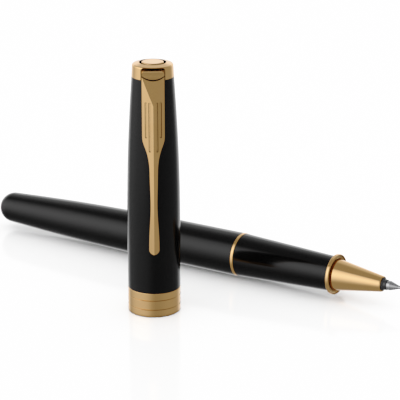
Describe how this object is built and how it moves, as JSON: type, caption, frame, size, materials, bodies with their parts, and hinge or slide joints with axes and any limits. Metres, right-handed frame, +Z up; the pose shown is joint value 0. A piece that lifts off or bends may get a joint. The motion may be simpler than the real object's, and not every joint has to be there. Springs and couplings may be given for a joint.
{
  "type": "rollerball pen",
  "caption": "Slim rollerball pen in black lacquer with pale gold trim, lying uncapped, its clip cap standing beside it on its mouth.",
  "frame": {"origin": "on the floor, under the middle of the box that holds the pen and its standing cap", "axes": "+X along the pen towards its writing tip, +Z up; the cap stands on the -Y side of the pen"},
  "size_m": [0.1204, 0.0432, 0.0611],
  "materials": {
    "black_lacquer": "gloss black lacquer on a brass tube",
    "gold_plate": "polished pale gold plate",
    "brass": "turned brass",
    "spring_steel": "bright spring steel",
    "point_steel": "turned stainless steel",
    "carbide": "ground and polished",
    "black_plastic": "moulded, satin gloss",
    "refill_plastic": "moulded, grey",
    "ink_fibre": "ink-soaked fibre"
  },
  "bodies": {
    "barrel": {"barrel_shell": "black_lacquer", "barrel_ring": "gold_plate", "barrel_bush": "brass", "spring_seat": "black_plastic", "refill_spring": "spring_steel"},
    "refill": {"refill_tube": "refill_plastic", "refill_end_plug": "black_plastic", "ink_reservoir": "ink_fibre", "refill_wick": "ink_fibre", "point_holder": "black_plastic", "refill_point": "point_steel"},
    "ball": {"tip_ball": "carbide"},
    "section": {"section_shell": "black_lacquer", "section_sleeve": "brass", "section_flange": "gold_plate", "nose_cone": "gold_plate"},
    "cap": {"cap_shell": "black_lacquer", "cap_band": "gold_plate", "cap_crown": "gold_plate", "finial": "gold_plate", "cap_nut": "brass", "inner_cap": "black_plastic", "clutch_ring": "spring_steel"},
    "clip": {"clip": "gold_plate"}
  },
  "joints": [
    {"name": "refill_advance", "type": "slide", "parent": "barrel", "child": "refill", "axis": [1, 0, 0], "range_m": [0, 0.00375], "deforming": ["refill_spring"]},
    {"name": "section_turn", "type": "hinge", "parent": "refill", "child": "section", "pos_m": [0.01579, 0.01616, 0.00547], "axis": [1, 0, 0], "range_deg": [0, 1800]},
    {"name": "ball_roll", "type": "hinge", "parent": "refill", "child": "ball", "pos_m": [0.05992, 0.01616, 0.00547], "axis": [0, 1, 0], "continuous": true},
    {"name": "cap_lift", "type": "slide", "parent": "barrel", "child": "cap", "axis": [0, 0, 1], "range_m": [0, 0.08]},
    {"name": "clip_flex", "type": "hinge", "parent": "cap", "child": "clip", "pos_m": [0.01121, -0.01744, 0.05845], "axis": [-0.8261, -0.5635, 0], "range_deg": [0, 2.5], "stiffness_Nm_per_rad": 4}
  ],
  "couplings": [
    {"joint": "refill_advance", "follows": "section_turn", "m_per_rad": 0.00011936}
  ]
}
